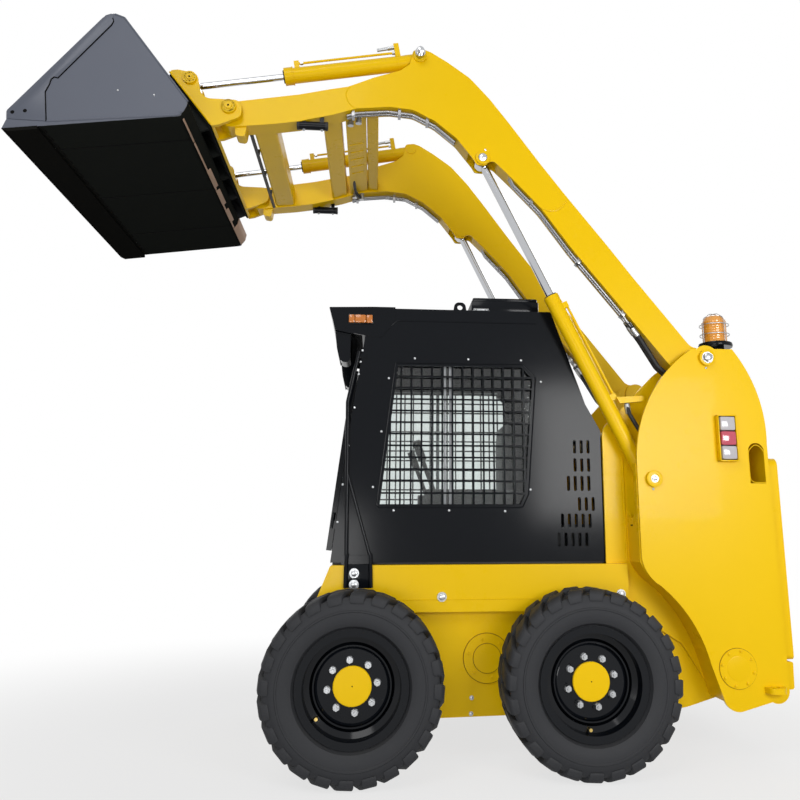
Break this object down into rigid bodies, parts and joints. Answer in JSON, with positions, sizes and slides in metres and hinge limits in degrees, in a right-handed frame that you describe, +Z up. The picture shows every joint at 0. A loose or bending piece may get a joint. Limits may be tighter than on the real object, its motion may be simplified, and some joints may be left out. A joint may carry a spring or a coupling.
{
  "type": "skid steer loader",
  "caption": "Compact wheeled loader with skid steering, an enclosed cab, a raised lift boom and a general-purpose bucket on a tilting carrier.",
  "frame": {"origin": "middle of the machine's box, on the ground it stands on", "axes": "+X forward, +Y to the machine's left, +Z up"},
  "size_m": [3.555, 1.722, 3.4415],
  "materials": {
    "yellow_paint": "glossy enamel over welded plate",
    "black_paint": "glossy black enamel",
    "bucket_paint": "satin black paint with scuffs",
    "edge_steel": "worn dark steel",
    "tyre_rubber": "matt moulded rubber",
    "rod_chrome": "polished chrome",
    "clear_glass": "clear sheet",
    "seat_vinyl": "grained black vinyl",
    "lever_plastic": "moulded",
    "engine_iron": "painted casting",
    "amber_plastic": "clear amber",
    "lamp_red": "clear red",
    "hose_rubber": "ribbed black hose cover",
    "line_steel": "zinc plated tube"
  },
  "bodies": {
    "frame": {"chassis_frame": "yellow_paint", "engine_block": "engine_iron", "tower_left": "yellow_paint", "tower_right": "yellow_paint", "engine_hood": "yellow_paint", "rear_bumper": "yellow_paint", "cab_shell": "black_paint", "cab_visor": "black_paint", "side_guards": "black_paint", "side_glass": "clear_glass", "roof_box": "black_paint", "seat": "seat_vinyl", "drive_levers": "lever_plastic", "roof_beacon": "amber_plastic", "tail_lamps": "lamp_red", "marker_lamps": "amber_plastic", "guard_bars": "black_paint", "work_lamps": "black_paint"},
    "boom": {"boom_arm_left": "yellow_paint", "boom_arm_right": "yellow_paint", "boom_cross_members": "yellow_paint", "boom_lines": "line_steel", "boom_hoses": "hose_rubber", "boom_valves": "black_paint"},
    "carrier": {"tool_carrier": "yellow_paint", "bucket": "bucket_paint", "cutting_edge": "edge_steel"},
    "front_door": {"front_door": "black_paint", "front_door_glass": "clear_glass"},
    "rear_door": {"rear_door": "yellow_paint"},
    "lift_barrel_left": {"lift_barrel_left": "yellow_paint", "lift_hose_left": "hose_rubber"},
    "lift_rod_left": {"lift_rod_left": "rod_chrome"},
    "tilt_barrel_left": {"tilt_barrel_left": "yellow_paint"},
    "tilt_rod_left": {"tilt_rod_left": "rod_chrome"},
    "wheel_front_left": {"tyre_front_left": "tyre_rubber", "wheel_front_left": "black_paint"},
    "wheel_rear_left": {"tyre_rear_left": "tyre_rubber", "wheel_rear_left": "black_paint"},
    "lift_barrel_right": {"lift_barrel_right": "yellow_paint", "lift_hose_right": "hose_rubber"},
    "lift_rod_right": {"lift_rod_right": "rod_chrome"},
    "tilt_barrel_right": {"tilt_barrel_right": "yellow_paint"},
    "tilt_rod_right": {"tilt_rod_right": "rod_chrome"},
    "wheel_front_right": {"tyre_front_right": "tyre_rubber", "wheel_front_right": "black_paint"},
    "wheel_rear_right": {"tyre_rear_right": "tyre_rubber", "wheel_rear_right": "black_paint"}
  },
  "joints": [
    {"name": "boom_lift", "type": "hinge", "parent": "frame", "child": "boom", "pos_m": [-1.4325, 0, 1.789], "axis": [0, -1, 0], "range_deg": [-66, 0]},
    {"name": "bucket_tilt", "type": "hinge", "parent": "boom", "child": "carrier", "pos_m": [0.8645, 0, 3], "axis": [0, 1, 0], "range_deg": [-97, 35]},
    {"name": "lift_barrel_turn_left", "type": "hinge", "parent": "frame", "child": "lift_barrel_left", "pos_m": [-1.1435, 0.52, 1.22], "axis": [0, -1, 0], "range_deg": [-64.2, 1]},
    {"name": "lift_rod_slide_left", "type": "slide", "parent": "lift_barrel_left", "child": "lift_rod_left", "axis": [0.4349, 0, 0.9005], "range_m": [-0.6949, 0.003]},
    {"name": "tilt_barrel_turn_left", "type": "hinge", "parent": "boom", "child": "tilt_barrel_left", "pos_m": [-0.0635, 0.52, 3.348], "axis": [0, 1, 0], "range_deg": [-1.9, 3.48]},
    {"name": "tilt_rod_slide_left", "type": "slide", "parent": "tilt_barrel_left", "child": "tilt_rod_left", "axis": [0.9837, 0, -0.1799], "range_m": [-0.3605, 0.132]},
    {"name": "wheel_spin_front_left", "type": "hinge", "parent": "frame", "child": "wheel_front_left", "pos_m": [0.201, 0.736, 0.376], "axis": [0, 1, 0], "continuous": true},
    {"name": "wheel_spin_rear_left", "type": "hinge", "parent": "frame", "child": "wheel_rear_left", "pos_m": [-0.788, 0.736, 0.376], "axis": [0, 1, 0], "continuous": true},
    {"name": "lift_barrel_turn_right", "type": "hinge", "parent": "frame", "child": "lift_barrel_right", "pos_m": [-1.1435, -0.52, 1.22], "axis": [0, -1, 0], "range_deg": [-64.2, 1]},
    {"name": "lift_rod_slide_right", "type": "slide", "parent": "lift_barrel_right", "child": "lift_rod_right", "axis": [0.4349, 0, 0.9005], "range_m": [-0.6949, 0.003]},
    {"name": "tilt_barrel_turn_right", "type": "hinge", "parent": "boom", "child": "tilt_barrel_right", "pos_m": [-0.0635, -0.52, 3.348], "axis": [0, 1, 0], "range_deg": [-1.9, 3.48]},
    {"name": "tilt_rod_slide_right", "type": "slide", "parent": "tilt_barrel_right", "child": "tilt_rod_right", "axis": [0.9837, 0, -0.1799], "range_m": [-0.3605, 0.132]},
    {"name": "wheel_spin_front_right", "type": "hinge", "parent": "frame", "child": "wheel_front_right", "pos_m": [0.201, -0.736, 0.376], "axis": [0, 1, 0], "continuous": true},
    {"name": "wheel_spin_rear_right", "type": "hinge", "parent": "frame", "child": "wheel_rear_right", "pos_m": [-0.788, -0.736, 0.376], "axis": [0, 1, 0], "continuous": true},
    {"name": "front_door_hinge", "type": "hinge", "parent": "frame", "child": "front_door", "pos_m": [0.33237, 0.384, 0.90214], "axis": [-0.1191, 0, 0.9929], "range_deg": [0, 90]},
    {"name": "rear_door_hinge", "type": "hinge", "parent": "frame", "child": "rear_door", "pos_m": [-1.7555, -0.608, 0.424], "axis": [0, 0, 1], "range_deg": [0, 100]}
  ],
  "couplings": [
    {"joint": "lift_barrel_turn_left", "follows": "boom_lift", "ratio": 0.95753},
    {"joint": "lift_rod_slide_left", "follows": "boom_lift", "m_per_rad": 0.60068},
    {"joint": "tilt_barrel_turn_left", "follows": "bucket_tilt", "ratio": -0.025577},
    {"joint": "tilt_rod_slide_left", "follows": "bucket_tilt", "m_per_rad": 0.21115},
    {"joint": "lift_barrel_turn_right", "follows": "boom_lift", "ratio": 0.95753},
    {"joint": "lift_rod_slide_right", "follows": "boom_lift", "m_per_rad": 0.60068},
    {"joint": "tilt_barrel_turn_right", "follows": "bucket_tilt", "ratio": -0.025577},
    {"joint": "tilt_rod_slide_right", "follows": "bucket_tilt", "m_per_rad": 0.21115}
  ]
}
